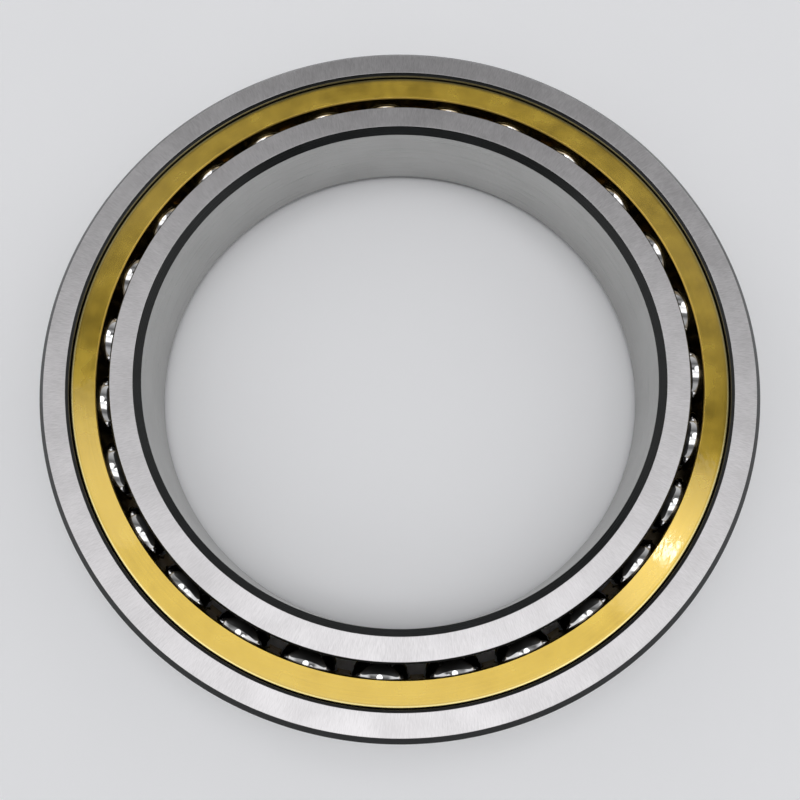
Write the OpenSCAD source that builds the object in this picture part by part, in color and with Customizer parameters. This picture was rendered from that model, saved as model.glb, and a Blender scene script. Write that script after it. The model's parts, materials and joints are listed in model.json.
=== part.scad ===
// Open single row angular contact ball bearing with a one-piece machined brass cage.
// It lies flat: the bearing axis is Z, and the origin is on that axis, in the plane of the lower faces.
// The outer ring's high shoulder is on the upper side, so thrust passes from its upper side, through the
// balls, to the lower side of the inner ring. Its lower shoulder is bored out, so that the balls go in.

/* [Boundary dimensions] */
// Diameter of the bore
bore_d = 180; // [172:0.5:182]
// Outside diameter
outside_d = 250; // [248:0.5:260]
// Width of the rings
width = 33; // [32:0.5:40]

/* [Balls] */
// Number of balls
ball_count = 27; // [3:1:28]
// Diameter of a ball
ball_d = 20.638; // [18:0.001:21]
// Angle of the contact line from the radial plane
contact_angle = 25; // [12:1:30]
// Radius of a raceway groove, as a share of the ball diameter
groove_share = 0.52; // [0.515:0.005:0.53]
// Gap between a ball and each raceway, where they come closest
running_gap = 0.03; // [0.02:0.01:0.08]

/* [Inner ring] */
// Diameter of the two shoulders
inner_shoulder_d = 201.8; // [200:0.2:203]
// Radial leg of the bore chamfers
bore_chamfer_radial = 2.45; // [1:0.05:3]
// Axial leg of the bore chamfers
bore_chamfer_axial = 2.1; // [1:0.05:3]
// Chamfer between a shoulder and its face
inner_edge_chamfer = 0.65; // [0.2:0.05:1]

/* [Outer ring] */
// Diameter of the high shoulder, which guides the cage
guide_land_d = 229.4; // [229:0.1:230.5]
// Diameter of the low shoulder beside the groove
low_shoulder_d = 233; // [231.5:0.1:233.4]
// Growth in diameter of the low shoulder from the groove to the lower face
low_shoulder_flare = 1.6; // [0:0.1:3]
// Outside chamfer on the upper, thrust side
thrust_side_chamfer = 2; // [1:0.1:2.5]
// Outside chamfer on the lower, relieved side
relieved_side_chamfer = 1.1; // [0.5:0.1:2]
// Chamfer between a shoulder and its face
outer_edge_chamfer = 0.85; // [0.2:0.05:1.2]

/* [Cage] */
// Diameter of the cage's bore
cage_bore_d = 211.4; // [208:0.2:213]
// Clearance in diameter between the cage and the guiding shoulder
cage_guide_clearance = 0.7; // [0.3:0.1:1.5]
// Width of the cage
cage_width = 29; // [26:0.5:30]
// Clearance in diameter between a ball and its pocket
pocket_clearance = 0.6; // [0.3:0.05:1]
// Radial leg of the shallow bevel on the two outer edges
cage_bevel_radial = 1.2; // [0.5:0.1:2]
// Axial leg of the shallow bevel on the two outer edges
cage_bevel_axial = 0.12; // [0.05:0.01:0.3]
// Chamfer on the two edges of the cage's bore
cage_bore_chamfer = 0.4; // [0.2:0.1:1]

/* [Hidden] */
ball_numbers = [1 : ball_count];

$fn = 180;

bore_r = bore_d / 2;
outside_r = outside_d / 2;
inner_shoulder_r = inner_shoulder_d / 2;
guide_land_r = guide_land_d / 2;
low_shoulder_r = low_shoulder_d / 2;
flared_r = low_shoulder_r + low_shoulder_flare / 2;
cage_bore_r = cage_bore_d / 2;
cage_outer_r = guide_land_r - cage_guide_clearance / 2;
cage_bottom = (width - cage_width) / 2;
cage_top = cage_bottom + cage_width;
pitch_r = (bore_r + outside_r) / 2;
mid_z = width / 2;
groove_r = groove_share * ball_d;

// A groove is wider than the ball, so its centre is set back from the ball's centre along the contact line.
groove_setback = groove_r - ball_d / 2 - running_gap;
setback_r = groove_setback * cos(contact_angle);
setback_z = groove_setback * sin(contact_angle);

function two_digits(i) = str(i < 10 ? "0" : "", i);
function ball_name(i) = str("ball_", two_digits(i));
function ball_angle(i) = 360 / ball_count * (i - 1);

// Half section of the inner ring, in radius and height, going round from the lower end of the bore.
module inner_ring_section() {
    difference() {
        polygon([
            [bore_r, bore_chamfer_axial],
            [bore_r + bore_chamfer_radial, 0],
            [inner_shoulder_r - inner_edge_chamfer, 0],
            [inner_shoulder_r, inner_edge_chamfer],
            [inner_shoulder_r, width - inner_edge_chamfer],
            [inner_shoulder_r - inner_edge_chamfer, width],
            [bore_r + bore_chamfer_radial, width],
            [bore_r, width - bore_chamfer_axial]
        ]);
        translate([pitch_r + setback_r, mid_z + setback_z])
            circle(r = groove_r);
    }
}

// Half section of the outer ring: the guiding shoulder above the groove, the flared low shoulder below it.
module outer_ring_section() {
    difference() {
        polygon([
            [flared_r + outer_edge_chamfer, 0],
            [outside_r - relieved_side_chamfer, 0],
            [outside_r, relieved_side_chamfer],
            [outside_r, width - thrust_side_chamfer],
            [outside_r - thrust_side_chamfer, width],
            [guide_land_r + outer_edge_chamfer, width],
            [guide_land_r, width - outer_edge_chamfer],
            [guide_land_r, mid_z],
            [low_shoulder_r, mid_z],
            [flared_r, outer_edge_chamfer]
        ]);
        translate([pitch_r - setback_r, mid_z - setback_z])
            circle(r = groove_r);
    }
}

// Half section of the cage, before its pockets are bored.
module cage_section() {
    polygon([
        [cage_bore_r + cage_bore_chamfer, cage_bottom],
        [cage_outer_r - cage_bevel_radial, cage_bottom],
        [cage_outer_r, cage_bottom + cage_bevel_axial],
        [cage_outer_r, cage_top - cage_bevel_axial],
        [cage_outer_r - cage_bevel_radial, cage_top],
        [cage_bore_r + cage_bore_chamfer, cage_top],
        [cage_bore_r, cage_top - cage_bore_chamfer],
        [cage_bore_r, cage_bottom + cage_bore_chamfer]
    ]);
}

// Tool that bores one pocket straight through the cage's wall, towards the axis.
module pocket_bore(i) {
    rotate([0, 0, ball_angle(i)])
        translate([inner_shoulder_r, 0, mid_z])
            rotate([0, 90, 0])
                cylinder(d = ball_d + pocket_clearance, h = outside_r - inner_shoulder_r);
}

module inner_ring() {
    color("silver")
        rotate_extrude()
            inner_ring_section();
}

module outer_ring() {
    color("silver")
        rotate_extrude()
            outer_ring_section();
}

module cage() {
    color("goldenrod")
        difference() {
            rotate_extrude()
                cage_section();
            for (i = ball_numbers)
                pocket_bore(i);
        }
}

module ball(i) {
    color("whitesmoke")
        rotate([0, 0, ball_angle(i)])
            translate([pitch_r, 0, mid_z])
                sphere(d = ball_d);
}

outer_ring();
inner_ring();
cage();
for (i = ball_numbers)
    ball(i);
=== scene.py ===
import json
import math

import bmesh
import bpy
from mathutils import Matrix, Vector
from mathutils.geometry import intersect_line_sphere_2d


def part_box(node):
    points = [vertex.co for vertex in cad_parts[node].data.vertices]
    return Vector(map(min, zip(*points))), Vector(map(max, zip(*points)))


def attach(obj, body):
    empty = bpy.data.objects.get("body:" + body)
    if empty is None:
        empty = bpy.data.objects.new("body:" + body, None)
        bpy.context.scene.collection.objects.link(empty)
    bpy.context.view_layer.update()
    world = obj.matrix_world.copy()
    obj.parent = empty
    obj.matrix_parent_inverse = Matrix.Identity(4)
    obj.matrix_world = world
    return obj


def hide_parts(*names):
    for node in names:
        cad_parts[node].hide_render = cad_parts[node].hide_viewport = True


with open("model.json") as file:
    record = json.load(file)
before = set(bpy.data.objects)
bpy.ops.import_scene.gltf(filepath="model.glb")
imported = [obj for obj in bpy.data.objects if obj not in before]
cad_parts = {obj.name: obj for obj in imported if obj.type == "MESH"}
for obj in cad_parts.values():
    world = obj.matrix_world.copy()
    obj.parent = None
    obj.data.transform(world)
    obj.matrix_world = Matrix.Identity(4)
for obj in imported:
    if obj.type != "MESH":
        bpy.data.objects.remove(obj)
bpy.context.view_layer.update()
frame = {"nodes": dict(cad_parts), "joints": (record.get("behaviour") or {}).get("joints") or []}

MM = 0.001

# ---------------------------------------------------------------- sizes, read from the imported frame

SAME_PLACE = 0.001 * MM


def section_points(node):
    """Every vertex of a CAD node as its distance from the bearing axis and its height."""
    vertices = frame["nodes"][node].data.vertices
    return [(math.hypot(v.co.x, v.co.y), v.co.z) for v in vertices]


def span(values):
    """The lowest and the highest of some values."""
    values = list(values)
    return min(values), max(values)


def radii_at(points, height):
    """The inner and outer radius of the flat face at a height."""
    return span(r for r, z in points if abs(z - height) < SAME_PLACE)


def heights_at(points, radius):
    """The lower and upper end of the straight wall at a radius."""
    return span(z for r, z in points if abs(r - radius) < SAME_PLACE)


OUTER = section_points("outer_ring")
INNER = section_points("inner_ring")
CAGE = section_points("cage")

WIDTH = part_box("outer_ring")[1].z
MID_Z = WIDTH / 2
GUIDE_LAND_R, OUTSIDE_R = span(r for r, z in OUTER)
BORE_R, INNER_SHOULDER_R = span(r for r, z in INNER)
CAGE_BORE_R, CAGE_OUTER_R = span(r for r, z in CAGE)
CAGE_BOTTOM, CAGE_TOP = span(z for r, z in CAGE)
PITCH_R = (BORE_R + OUTSIDE_R) / 2

BALLS = sorted(name for name in frame["nodes"] if name.startswith("ball_"))
BALL_R = (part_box(BALLS[0])[1].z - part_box(BALLS[0])[0].z) / 2
PITCH_ANGLE = 2 * math.pi / len(BALLS)

# A ball spins about a line square to its contact line, so the first ball's axis gives the contact angle.
FIRST_SPIN = next(j["axis"] for j in frame["joints"] if j["child"] == BALLS[0])
CONTACT_ANGLE = math.atan2(-FIRST_SPIN[0], FIRST_SPIN[2])

# Sizes from part.scad that can't be read off the frame's meshes.
GROOVE_SHARE = 0.52
RUNNING_GAP = 0.03 * MM
POCKET_GAP = 0.3 * MM
LOW_SHOULDER_R = 116.5 * MM

GROOVE_R = GROOVE_SHARE * 2 * BALL_R
POCKET_R = BALL_R + POCKET_GAP
SETBACK = Vector((math.cos(CONTACT_ANGLE), math.sin(CONTACT_ANGLE))) * (GROOVE_R - BALL_R - RUNNING_GAP)

# ---------------------------------------------------------------- outlines

# The rings' finishes, as places in their list of materials.
FACE, WALL, RACEWAY, BLACK, SHOULDER, GUIDE = range(6)

EDGE_ROUNDING = 0.12 * MM
ARC_STEPS = 4
SUPPORT_DISTANCE = 0.06 * MM
GROOVE_STEPS = 40


def rounded(corners, closed=True):
    """An outline with its corners rounded, as (radius, height, finish of the stretch that follows).

    Each corner is (radius, height, rounding, finish of the stretch that follows). A rounding has the finish
    that follows it, but where that is black it has the finish before it. A point close to each end of a
    rounding keeps the shading of the stretch beside it flat.
    """
    outline = []
    ends = (0, len(corners) - 1)
    for i, (r, z, rounding, finish) in enumerate(corners):
        if rounding == 0 or (not closed and i in ends):
            outline.append((r, z, finish))
            continue
        here = Vector((r, z))
        to_before = (Vector(corners[i - 1][:2]) - here).normalized()
        to_after = (Vector(corners[(i + 1) % len(corners)][:2]) - here).normalized()
        finish_before = corners[i - 1][3]
        finish_here = finish_before if finish == BLACK else finish
        half = to_before.angle(to_after) / 2
        cut = rounding / math.tan(half)
        centre = here + (to_before + to_after).normalized() * (rounding / math.sin(half))
        spoke = here + to_before * cut - centre
        turn = math.pi - 2 * half
        if to_before.cross(to_after) > 0:
            turn = -turn
        outline.append((*(here + to_before * (cut + SUPPORT_DISTANCE)), finish_before))
        for step in range(ARC_STEPS + 1):
            point = centre + Matrix.Rotation(turn * step / ARC_STEPS, 2) @ spoke
            outline.append((*point, finish_here if step < ARC_STEPS else finish))
        outline.append((*(here + to_after * (cut + SUPPORT_DISTANCE)), finish))
    return outline


def groove_corners(centre, start, end, finish_after):
    """Corners of a raceway groove round a centre, from one point to another, clockwise."""
    first = math.atan2(start.y - centre.y, start.x - centre.x)
    last = math.atan2(end.y - centre.y, end.x - centre.x)
    if last > first:
        last -= 2 * math.pi
    corners = []
    for step in range(GROOVE_STEPS + 1):
        angle = first + (last - first) * step / GROOVE_STEPS
        r = centre.x + GROOVE_R * math.cos(angle)
        z = centre.y + GROOVE_R * math.sin(angle)
        rounding = EDGE_ROUNDING if step in (0, GROOVE_STEPS) else 0
        corners.append((r, z, rounding, RACEWAY if step < GROOVE_STEPS else finish_after))
    return corners


def cut_points(line_start, line_end, centre):
    """Where a shoulder's line crosses a groove's circle, in the line's order."""
    points = intersect_line_sphere_2d(line_start, line_end, centre, GROOVE_R, False)
    return sorted(points, key=lambda p: (p - line_start).length)


def outer_ring_outline():
    """The outer ring's section, anticlockwise from the inner edge of its lower face."""
    bottom_inner_r, bottom_outer_r = radii_at(OUTER, 0)
    top_inner_r, top_outer_r = radii_at(OUTER, WIDTH)
    wall_low, wall_high = heights_at(OUTER, OUTSIDE_R)
    edge = top_inner_r - GUIDE_LAND_R
    flared_r = bottom_inner_r - edge
    centre = Vector((PITCH_R, MID_Z)) - SETBACK
    land = cut_points(Vector((GUIDE_LAND_R, WIDTH)), Vector((GUIDE_LAND_R, MID_Z)), centre)[0]
    low = cut_points(Vector((LOW_SHOULDER_R, MID_Z)), Vector((flared_r, edge)), centre)[0]
    return rounded([
        (bottom_inner_r, 0, EDGE_ROUNDING, FACE),
        (bottom_outer_r, 0, EDGE_ROUNDING, BLACK),
        (OUTSIDE_R, wall_low, EDGE_ROUNDING, WALL),
        (OUTSIDE_R, wall_high, EDGE_ROUNDING, BLACK),
        (top_outer_r, WIDTH, EDGE_ROUNDING, FACE),
        (top_inner_r, WIDTH, EDGE_ROUNDING, BLACK),
        (GUIDE_LAND_R, WIDTH - edge, EDGE_ROUNDING, GUIDE),
        *groove_corners(centre, land, low, SHOULDER),
        (flared_r, edge, EDGE_ROUNDING, BLACK),
    ])


def inner_ring_outline():
    """The inner ring's section, anticlockwise from the inner edge of its lower face."""
    face_inner_r, face_outer_r = radii_at(INNER, WIDTH)
    wall_low, wall_high = heights_at(INNER, BORE_R)
    edge = INNER_SHOULDER_R - face_outer_r
    centre = Vector((PITCH_R, MID_Z)) + SETBACK
    low, high = cut_points(Vector((INNER_SHOULDER_R, 0)), Vector((INNER_SHOULDER_R, WIDTH)), centre)
    return rounded([
        (face_inner_r, 0, EDGE_ROUNDING, FACE),
        (face_outer_r, 0, EDGE_ROUNDING, BLACK),
        (INNER_SHOULDER_R, edge, EDGE_ROUNDING, SHOULDER),
        *groove_corners(centre, low, high, SHOULDER),
        (INNER_SHOULDER_R, WIDTH - edge, EDGE_ROUNDING, BLACK),
        (face_outer_r, WIDTH, EDGE_ROUNDING, FACE),
        (face_inner_r, WIDTH, EDGE_ROUNDING, BLACK),
        (BORE_R, wall_high, EDGE_ROUNDING, WALL),
        (BORE_R, wall_low, EDGE_ROUNDING, BLACK),
    ])


# ---------------------------------------------------------------- mesh building

WELD_DISTANCE = 0.0005 * MM
RING_STEPS = 720


def at(radius, angle, height):
    """The point at a radius, angle and height."""
    return Vector((radius * math.cos(angle), radius * math.sin(angle), height))


def add_grid(mesh, rows, finishes):
    """Adds quads between rows of points. finishes gives each column's material."""
    made = [[mesh.verts.new(point) for point in row] for row in rows]
    for row, next_row in zip(made, made[1:]):
        for column, finish in enumerate(finishes):
            face = mesh.faces.new((row[column], next_row[column], next_row[column + 1], row[column + 1]))
            face.material_index = finish
            face.smooth = True


def finished_piece(name, mesh, materials, body):
    """Welds a mesh and makes it a piece that rides on its body and stands for the CAD node of that name."""
    bmesh.ops.remove_doubles(mesh, verts=mesh.verts, dist=WELD_DISTANCE)
    bmesh.ops.recalc_face_normals(mesh, faces=mesh.faces)
    data = bpy.data.meshes.new(name + "_mesh")
    mesh.to_mesh(data)
    mesh.free()
    for material in materials:
        data.materials.append(material)
    piece = bpy.data.objects.new(name + "_finished", data)
    bpy.context.scene.collection.objects.link(piece)
    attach(piece, body)
    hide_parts(name)
    return piece


def turned_ring(name, outline, materials):
    """A solid of revolution about the bearing axis. Its last row lies on its first, and they are welded."""
    mesh = bmesh.new()
    closed = outline + outline[:1]
    rows = []
    for step in range(RING_STEPS + 1):
        angle = 2 * math.pi * (step % RING_STEPS) / RING_STEPS
        rows.append([at(r, angle, z) for r, z, finish in closed])
    add_grid(mesh, rows, [finish for r, z, finish in outline])
    return finished_piece(name, mesh, materials, name)


# ---------------------------------------------------------------- cage

# The cage's finishes, as places in its list of materials. The last is a paler brass that paints a highlight
# along the outer rims.
TURNED, BORED, RIM_HIGHLIGHT = range(3)

# The wall between the two edge bands is cut into one share for each pocket. Rows of points go round the
# pocket, and each row runs over the pocket's rim and then out to the edge of its share.
PITCH_STEPS = 16
HEIGHT_STEPS = 20
RIM_STEPS = 3
SPREAD_STEPS = 4
SPREAD_POWER = 1.6
RIM_ROUNDING = 0.3 * MM
SKIN_MARGIN = 1.0 * MM

# The outer edges have a shallow bevel, rounded on to the face, whose outermost part has a paler brass
# colour: a painted highlight.
BEVEL_ROUNDING = 8 * MM
RIM_HIGHLIGHT_WIDTH = 0.7 * MM
RIM_HIGHLIGHT_ROUNDING = 0.25 * MM


def cage_edge_band(upper):
    """The open outline over one end of the cage, from its bore to its outside."""
    end = CAGE_TOP if upper else CAGE_BOTTOM
    inward = -1 if upper else 1
    face_inner_r, face_outer_r = radii_at(CAGE, end)
    bore_end = heights_at(CAGE, CAGE_BORE_R)[upper]
    outer_end = heights_at(CAGE, CAGE_OUTER_R)[upper]
    skin_end = bore_end + inward * SKIN_MARGIN
    rim_highlight_end = outer_end + (end - outer_end) * RIM_HIGHLIGHT_WIDTH / (CAGE_OUTER_R - face_outer_r)
    corners = [
        (CAGE_BORE_R, skin_end, 0, BORED),
        (CAGE_BORE_R, bore_end, EDGE_ROUNDING, BORED),
        (face_inner_r, end, EDGE_ROUNDING, TURNED),
        (face_outer_r, end, BEVEL_ROUNDING, TURNED),
        # From here to the edge the brass takes the paler colour of the painted highlight.
        (CAGE_OUTER_R - RIM_HIGHLIGHT_WIDTH, rim_highlight_end, 0, RIM_HIGHLIGHT),
        (CAGE_OUTER_R, outer_end, RIM_HIGHLIGHT_ROUNDING, RIM_HIGHLIGHT),
        (CAGE_OUTER_R, skin_end, 0, TURNED),
    ]
    return rounded(corners, closed=False)


def window_frame(low, high):
    """Angle and height of points round the edge of one pocket's share of the cage wall, anticlockwise."""
    half = PITCH_ANGLE / 2
    up = [(half, low + (high - low) * i / HEIGHT_STEPS) for i in range(HEIGHT_STEPS)]
    over = [(half - PITCH_ANGLE * i / PITCH_STEPS, high) for i in range(PITCH_STEPS)]
    down = [(-angle, low + high - z) for angle, z in up]
    back = [(-angle, low + high - z) for angle, z in over]
    return up + over + down + back


def rim_point(surface_r, rounding_angle, depth_sign, around):
    """Angle, radius and height of a point on a pocket's rounded rim.

    rounding_angle is 0 on the pocket's wall and 90 degrees on the skin. depth_sign points into the brass.
    """
    hole_r = POCKET_R + RIM_ROUNDING * (1 - math.cos(rounding_angle))
    r = surface_r + depth_sign * RIM_ROUNDING * (1 - math.sin(rounding_angle))
    y = hole_r * math.cos(around)
    z = MID_Z + hole_r * math.sin(around)
    return math.asin(y / r), r, z


def skin_rows(surface_r, depth_sign, low, high):
    """Rows of points from a pocket's wall, over its rim, to the edge of its share of a skin."""
    rows = []
    for edge_angle, edge_z in window_frame(low, high):
        around = math.atan2(edge_z - MID_Z, edge_angle * PITCH_R)
        row = []
        for step in range(RIM_STEPS + 1):
            angle, r, z = rim_point(surface_r, math.pi / 2 * step / RIM_STEPS, depth_sign, around)
            row.append(at(r, angle, z))
        for step in range(1, SPREAD_STEPS + 1):
            share = (step / SPREAD_STEPS) ** SPREAD_POWER
            row.append(at(surface_r, angle + (edge_angle - angle) * share, z + (edge_z - z) * share))
        rows.append(row)
    return rows + rows[:1]


def turned_points(rows, angle):
    """Rows of points turned about the bearing axis."""
    turn = Matrix.Rotation(angle, 3, "Z")
    return [[turn @ point for point in row] for row in rows]


def cage_piece(materials):
    """The cage: one pocket's wall, with its share of the skins and edge bands, repeated round the axis."""
    bands = [cage_edge_band(False), cage_edge_band(True)]
    low, high = (band[0][1] for band in bands)
    inner_skin = skin_rows(CAGE_BORE_R, 1, low, high)
    outer_skin = skin_rows(CAGE_OUTER_R, -1, low, high)
    walls = [[inner[0], outer[0]] for inner, outer in zip(inner_skin, outer_skin)]
    columns = [PITCH_ANGLE * (i / PITCH_STEPS - 0.5) for i in range(PITCH_STEPS + 1)]
    patches = [
        (inner_skin, [BORED] * (len(inner_skin[0]) - 1)),
        (outer_skin, [TURNED] * (len(outer_skin[0]) - 1)),
        (walls, [BORED]),
    ]
    for band in bands:
        rows = [[at(r, angle, z) for r, z, finish in band] for angle in columns]
        patches.append((rows, [finish for r, z, finish in band[:-1]]))
    mesh = bmesh.new()
    for i in range(len(BALLS)):
        for rows, finishes in patches:
            add_grid(mesh, turned_points(rows, i * PITCH_ANGLE), finishes)
    return finished_piece("cage", mesh, materials, "cage")


# ---------------------------------------------------------------- balls

BALL_STEPS = 24
CUBE_SIDES = [Matrix.Rotation(math.pi / 2 * i, 3, "Z") for i in range(4)]
CUBE_SIDES += [Matrix.Rotation(math.pi / 2 * way, 3, "Y") for way in (1, -1)]


def ball_piece(name, materials):
    """A ball made as a cube of square grids pushed out to a sphere, so that it has no poles."""
    low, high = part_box(name)
    centre = (low + high) / 2
    mesh = bmesh.new()
    ticks = [math.tan(math.pi / 4 * (2 * i / BALL_STEPS - 1)) for i in range(BALL_STEPS + 1)]
    for turn in CUBE_SIDES:
        rows = [[centre + (turn @ Vector((1, u, v))).normalized() * BALL_R for v in ticks] for u in ticks]
        add_grid(mesh, rows, [0] * BALL_STEPS)
    return finished_piece(name, mesh, materials, name)


# ---------------------------------------------------------------- materials


class Graph:
    """A node tree, with short calls that add to it."""

    def __init__(self, tree):
        self.tree = tree

    def node(self, kind, inputs, output=0, **settings):
        """Adds a node and returns an output of it. inputs are constants or other outputs, by socket."""
        made = self.tree.nodes.new("ShaderNode" + kind)
        for key, value in settings.items():
            setattr(made, key, value)
        for key, value in inputs.items():
            self.feed(made.inputs[key], value)
        return made.outputs[output]

    def feed(self, socket, value):
        """Links an output to a socket, or sets a constant on it."""
        if isinstance(value, bpy.types.NodeSocket):
            self.tree.links.new(value, socket)
        else:
            socket.default_value = value

    def maths(self, operation, a, b=0.0):
        """The result of a sum on one or two numbers."""
        return self.node("Math", {0: a, 1: b}, operation=operation)

    def vector(self, operation, a, b=(0, 0, 0), scale=1.0):
        """The vector that comes out of a sum on one or two vectors."""
        inputs = {0: a, "Scale": scale} if operation == "SCALE" else {0: a, 1: b}
        return self.node("VectorMath", inputs, operation=operation)

    def colour_mix(self, factor, first, second):
        """One colour carried over to another as the factor goes from 0 to 1."""
        # A Mix node has sockets of the same name for each kind of data, so the colours go by number.
        return self.node("Mix", {"Factor": factor, 6: first, 7: second}, output=2, data_type="RGBA")


class Shader(Graph):
    """A material with one Principled surface, and the patterns that feed it."""

    def __init__(self, name):
        self.material = bpy.data.materials.new(name)
        self.material.use_nodes = True
        super().__init__(self.material.node_tree)
        self.surface = self.tree.nodes["Principled BSDF"]

    def set(self, **values):
        """Feeds the surface's sockets, named with underscores for spaces."""
        for key, value in values.items():
            self.feed(self.surface.inputs[key.replace("_", " ")], value)

    def place(self):
        """The point on the object, in metres."""
        return self.node("TexCoord", {}, output="Object")

    def marks(self, around, outward, up, slant=0.0, detail=2.0):
        """Noise from 0 to 1 in marks of the given lengths round the axis, away from it and up it.

        slant is how far the pattern turns about the axis, in radians for each metre away from it.
        """
        place = self.place()
        flat = self.vector("MULTIPLY", place, (1, 1, 0))
        radius = self.node("VectorMath", {0: flat}, output="Value", operation="LENGTH")
        circle = self.vector("NORMALIZE", flat)
        if slant:
            turn = self.maths("MULTIPLY", radius, slant)
            circle = self.node("VectorRotate", {"Vector": circle, "Angle": turn}, rotation_type="Z_AXIS")
        circle = self.vector("SCALE", circle, scale=PITCH_R / around)
        height = self.node("SeparateXYZ", {0: place}, output="Z")
        marks_out = self.maths("MULTIPLY", radius, 1 / outward)
        marks_up = self.maths("MULTIPLY", height, 1 / up)
        lift = self.node("CombineXYZ", {"Z": self.maths("ADD", marks_out, marks_up)})
        vector = self.vector("ADD", circle, lift)
        return self.node("TexNoise", {"Vector": vector, "Scale": 1.0, "Detail": detail})

    def blotches(self, size, detail=3.0):
        """Noise from 0 to 1 in soft patches of a size."""
        return self.node("TexNoise", {"Vector": self.place(), "Scale": 1 / size, "Detail": detail})

    def blend(self, first, second, share):
        """Two noises laid over each other: that share of the first, and the rest of the second."""
        rest = self.maths("MULTIPLY", second, 1 - share)
        return self.maths("ADD", self.maths("MULTIPLY", first, share), rest)

    def between(self, value, low, high, low_at=0.3, high_at=0.7):
        """Carries noise on to the range from low to high."""
        inputs = {"Value": value, "From Min": low_at, "From Max": high_at, "To Min": low, "To Max": high}
        return self.node("MapRange", inputs)

    def tint(self, value, dark, light, low_at=0.3, high_at=0.7):
        """Carries noise on to a colour from dark to light."""
        factor = self.between(value, 0, 1, low_at, high_at)
        return self.colour_mix(factor, (*dark, 1), (*light, 1))

    def tangent(self):
        """The direction round the bearing axis."""
        return self.node("Tangent", {}, direction_type="RADIAL", axis="Z")

    def bump(self, height, depth):
        """A normal from a height of 0 to 1 that stands for a depth in metres."""
        return self.node("Bump", {"Height": height, "Distance": depth, "Strength": 1.0})


def ground_face(name):
    """Ring faces: satin steel with short, crossing, nearly radial grinding marks."""
    s = Shader(name)
    right = s.marks(around=0.30 * MM, outward=3 * MM, up=20 * MM, slant=1.5, detail=3)
    left = s.marks(around=0.25 * MM, outward=1.8 * MM, up=20 * MM, slant=-1.5, detail=3)
    marks = s.blend(right, left, share=0.5)
    shade = s.blend(marks, s.blotches(14 * MM), share=0.7)
    s.set(
        Base_Color=s.tint(shade, (0.555, 0.543, 0.554), (0.705, 0.69, 0.705), low_at=0.40, high_at=0.60),
        Metallic=1.0,
        Roughness=s.between(marks, 0.33, 0.40, low_at=0.40, high_at=0.60),
        Anisotropic=0.72,
        Tangent=s.tangent(),
        Normal=s.bump(marks, depth=0.0018 * MM),
    )
    return s.material


def ground_wall(name):
    """The bore and the outside: fine, smooth cylindrical grinding with lines round the ring."""
    s = Shader(name)
    lines = s.marks(around=40 * MM, outward=30 * MM, up=0.35 * MM)
    shade = s.blend(lines, s.blotches(18 * MM), share=0.5)
    s.set(
        Base_Color=s.tint(shade, (0.43, 0.43, 0.42), (0.52, 0.52, 0.51)),
        Metallic=1.0,
        Roughness=s.between(lines, 0.26, 0.36),
        Normal=s.bump(lines, depth=0.002 * MM),
    )
    return s.material


def raceway(name):
    """The grooves: honed and lapped, nearly a mirror, with faint lines round the ring."""
    s = Shader(name)
    lines = s.marks(around=60 * MM, outward=0.4 * MM, up=0.4 * MM)
    s.set(
        Base_Color=s.tint(lines, (0.58, 0.58, 0.58), (0.66, 0.66, 0.66)),
        Metallic=1.0,
        Roughness=s.between(lines, 0.10, 0.16),
    )
    return s.material


def black_chamfer(name):
    """Chamfers left as heat treated: near black, a little glossy, with fine turning lines."""
    s = Shader(name)
    lines = s.marks(around=50 * MM, outward=0.3 * MM, up=0.3 * MM)
    s.set(
        Base_Color=s.tint(s.blotches(5 * MM), (0.002, 0.003, 0.003), (0.006, 0.007, 0.008)),
        Roughness=s.between(lines, 0.20, 0.32),
        IOR=1.37,
        Normal=s.bump(lines, depth=0.003 * MM),
    )
    return s.material


def black_shoulder(name):
    """The shoulders beside the grooves: the same black, dulled by a film of oil."""
    s = Shader(name)
    cloud = s.blotches(4 * MM)
    s.set(
        Base_Color=s.tint(cloud, (0.002, 0.002, 0.002), (0.005, 0.005, 0.005)),
        Roughness=s.between(cloud, 0.40, 0.55),
        IOR=1.22,
    )
    return s.material


def guide_land(name):
    """The guiding shoulder: ground steel in a dark colour, painted shade for the recess beside the cage, so
    that it mirrors the cage's edge dimly.
    """
    s = Shader(name)
    lines = s.marks(around=40 * MM, outward=0.4 * MM, up=0.4 * MM)
    s.set(
        # Far darker than the ground faces: painted shade.
        Base_Color=s.tint(lines, (0.15, 0.15, 0.16), (0.21, 0.21, 0.22)),
        Metallic=1.0,
        Roughness=s.between(lines, 0.22, 0.32),
    )
    return s.material


def turned_brass(name):
    """The cage's faces and outside: brass turned to a satin shine, under a thin film of oil.

    The turning left faint chatter, short waves along each line, that breaks up the lamps in the oil.
    """
    s = Shader(name)
    lines = s.marks(around=45 * MM, outward=0.3 * MM, up=0.3 * MM)
    chatter = s.marks(around=3 * MM, outward=1.2 * MM, up=1.2 * MM, slant=8, detail=1)
    cloud = s.blotches(9 * MM)
    s.set(
        Base_Color=s.tint(s.blend(lines, cloud, share=0.3), (0.50, 0.335, 0.034), (0.63, 0.437, 0.055)),
        Metallic=1.0,
        Roughness=s.between(cloud, 0.21, 0.29),
        Anisotropic=0.75,
        Anisotropic_Rotation=0.25,
        Tangent=s.tangent(),
        Normal=s.bump(lines, depth=0.0008 * MM),
        Coat_Weight=1.0,
        Coat_Roughness=0.06,
        Coat_IOR=1.6,
        Coat_Normal=s.bump(chatter, depth=0.02 * MM),
    )
    return s.material


def rim_highlight_brass(name):
    """The cage's outer edges: smooth brass in a paler colour, a painted highlight along the rims."""
    s = Shader(name)
    lines = s.marks(around=30 * MM, outward=0.25 * MM, up=0.25 * MM)
    s.set(
        # Paler than the turned brass: a painted highlight.
        Base_Color=s.tint(lines, (0.74, 0.61, 0.24), (0.84, 0.72, 0.33)),
        Metallic=1.0,
        Roughness=s.between(lines, 0.20, 0.30),
    )
    return s.material


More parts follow.
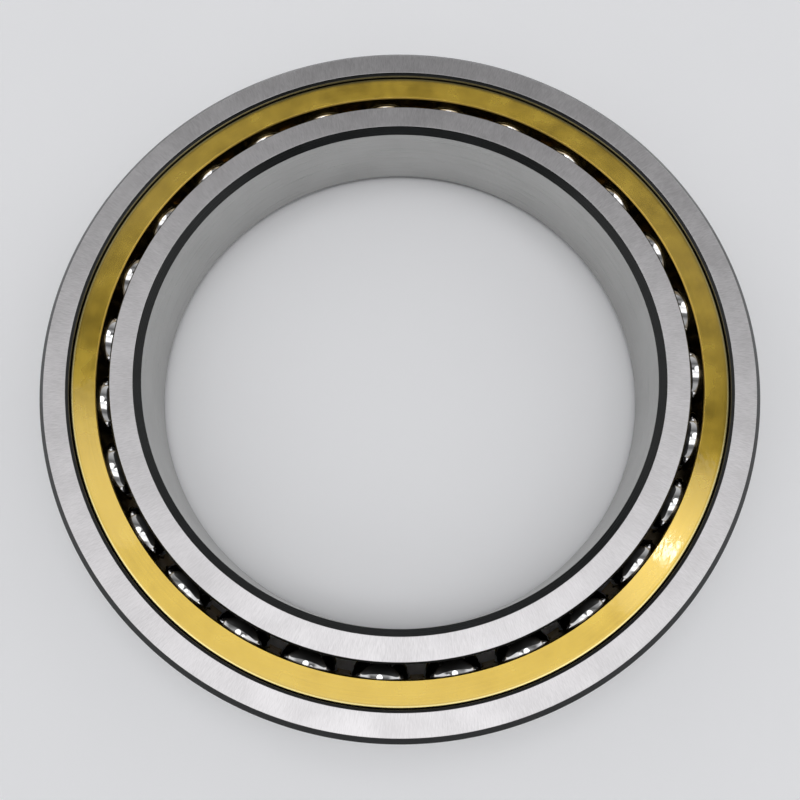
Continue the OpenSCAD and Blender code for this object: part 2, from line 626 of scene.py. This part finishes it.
def bored_brass(name):
    """The cage's bore and pockets: bored brass in a darker colour than the faces, painted shade for the
    deep gaps round the balls.
    """
    s = Shader(name)
    tool_lines = s.marks(around=6 * MM, outward=0.25 * MM, up=6 * MM)
    s.set(
        # Darker than the turned brass: painted shade.
        Base_Color=s.tint(tool_lines, (0.40, 0.26, 0.05), (0.54, 0.36, 0.08)),
        Metallic=1.0,
        Roughness=s.between(tool_lines, 0.14, 0.24),
        Normal=s.bump(tool_lines, depth=0.002 * MM),
    )
    return s.material


def lapped_ball(name):
    """The balls: lapped chrome steel, a clean mirror with a trace of handling haze."""
    s = Shader(name)
    haze = s.blotches(4 * MM)
    s.set(
        Base_Color=s.tint(haze, (0.68, 0.68, 0.69), (0.76, 0.76, 0.77)),
        Metallic=1.0,
        Roughness=s.between(haze, 0.03, 0.08),
    )
    return s.material


def plain_floor(name):
    """The floor: pale and matt, with wide, faint patches."""
    s = Shader(name)
    s.set(
        Base_Color=s.tint(s.blotches(120 * MM), (0.925, 0.93, 0.955), (0.945, 0.95, 0.975)),
        Roughness=0.6,
    )
    return s.material


# ---------------------------------------------------------------- the bearing

# In the order of the finishes' numbers.
steel = [
    ground_face("ground_face"),
    ground_wall("ground_wall"),
    raceway("raceway"),
    black_chamfer("black_chamfer"),
    black_shoulder("black_shoulder"),
    guide_land("guide_land"),
]
brass = [turned_brass("turned_brass"), bored_brass("bored_brass"), rim_highlight_brass("rim_highlight_brass")]
ball_steel = [lapped_ball("lapped_ball")]

turned_ring("outer_ring", outer_ring_outline(), steel)
turned_ring("inner_ring", inner_ring_outline(), steel)
cage_piece(brass)
for ball in BALLS:
    ball_piece(ball, ball_steel)

# ---------------------------------------------------------------- floor, light and camera

FLOOR_SIZE = 6.0
FLOOR_DROP = 0.02 * MM

# How bright the room is, by how far a direction points ahead: -1 is behind the camera, 0 overhead, and
# 1 straight ahead, which is turned a little to the right.
ROOM_TURN = math.radians(6.7)
ROOM_LIGHT = [
    (-1, 0.4),
    (-0.75, 0.5),
    (-0.55, 0.15),
    (-0.37, 0.25),
    (-0.29, 1.5),
    (-0.15, 1.7),
    (0, 1.1),
    (0.15, 1.1),
    (0.22, 0.1),
    (0.31, 0.13),
    (0.43, 0.42),
    (0.6, 0.14),
    (1, 0.7),
]

# The room's two sides come in over this range of how far a direction points sideways, and are this bright.
SIDE_FROM = 0.5
SIDE_FULL = 0.75
SIDE_LIGHT = 0.9

# Each lamp's name, place, diameter and power.
LAMPS = [
    ("left_panel", (-0.89, 0.36, 2.1), 0.5, 0.35),
    ("right_panel", (0.78, 0.16, 2.1), 0.5, 0.65),
    ("right_lamp", (0.77, 0.13, 2.1), 0.06, 0.16),
    ("overhead_panel", (0, 0.65, 2.15), 0.9, 3.4),
]

CAMERA_PLACE = (0, -0.0898, 0.3014)
CAMERA_TILT = math.radians(13.88)
CAMERA_ROLL = math.radians(0.29)
CAMERA_LENS = 36.65
CAMERA_SHIFT_X = 0.0003
CAMERA_SHIFT_Y = 0.0339
CAMERA_CLIP_START = 0.01


def floor():
    """A plain floor, a hair under the bearing so that no two faces share a plane."""
    mesh = bmesh.new()
    ends = (-FLOOR_SIZE / 2, FLOOR_SIZE / 2)
    add_grid(mesh, [[Vector((x, y, 0)) for y in ends] for x in ends], [0])
    data = bpy.data.meshes.new("floor_mesh")
    mesh.to_mesh(data)
    mesh.free()
    data.materials.append(plain_floor("pale_floor"))
    stage = bpy.data.objects.new("floor", data)
    stage.location.z = -FLOOR_DROP
    bpy.context.scene.collection.objects.link(stage)


def grey(level):
    """A grey as the colour that a socket takes."""
    return (level, level, level, 1)


def surround():
    """A softly graded room: a bright band overhead, dim bands before and behind it, and bright sides."""
    world = bpy.data.worlds.new("soft_room")
    bpy.context.scene.world = world
    world.use_nodes = True
    room = Graph(world.node_tree)
    direction = room.node("TexCoord", {}, output="Generated")

    ahead = (math.sin(ROOM_TURN), math.cos(ROOM_TURN), 0)
    along = room.node("VectorMath", {0: direction, 1: ahead}, output="Value", operation="DOT_PRODUCT")
    place = room.node("MapRange", {"Value": along, "From Min": -1})
    bands = room.node("ValToRGB", {"Fac": place}, output="Color")
    elements = bands.node.color_ramp.elements
    while len(elements) < len(ROOM_LIGHT):
        elements.new(0.5)
    for element, (share_ahead, level) in zip(elements, ROOM_LIGHT):
        element.position = (share_ahead + 1) / 2
        element.color = grey(level)

    sideways = room.maths("ABSOLUTE", room.node("SeparateXYZ", {0: direction}, output="X"))
    inputs = {"Value": sideways, "From Min": SIDE_FROM, "From Max": SIDE_FULL}
    to_side = room.node("MapRange", inputs, interpolation_type="SMOOTHSTEP")
    background = room.tree.nodes["Background"]
    room.feed(background.inputs["Color"], room.colour_mix(to_side, bands, grey(SIDE_LIGHT)))


def lamps():
    """Ceiling lamps, aimed at the bearing."""
    for name, place, size, power in LAMPS:
        light = bpy.data.lights.new(name, "AREA")
        light.shape = "DISK"
        light.size = size
        light.energy = power
        lamp = bpy.data.objects.new(name, light)
        lamp.location = place
        lamp.rotation_euler = Vector(place).to_track_quat("Z", "Y").to_euler()
        bpy.context.scene.collection.objects.link(lamp)


def camera():
    """Looks down from just in front of the bearing's centre, tilted a little forward."""
    data = bpy.data.cameras.new("camera")
    data.lens = CAMERA_LENS
    data.shift_x = CAMERA_SHIFT_X
    data.shift_y = CAMERA_SHIFT_Y
    data.clip_start = CAMERA_CLIP_START
    eye = bpy.data.objects.new("camera", data)
    tilt = Matrix.Rotation(CAMERA_TILT, 4, "X")
    roll = Matrix.Rotation(CAMERA_ROLL, 4, "Z")
    eye.matrix_world = Matrix.Translation(CAMERA_PLACE) @ tilt @ roll
    bpy.context.scene.collection.objects.link(eye)
    bpy.context.scene.camera = eye


floor()
surround()
lamps()
camera()
bpy.context.scene.view_settings.view_transform = "Standard"
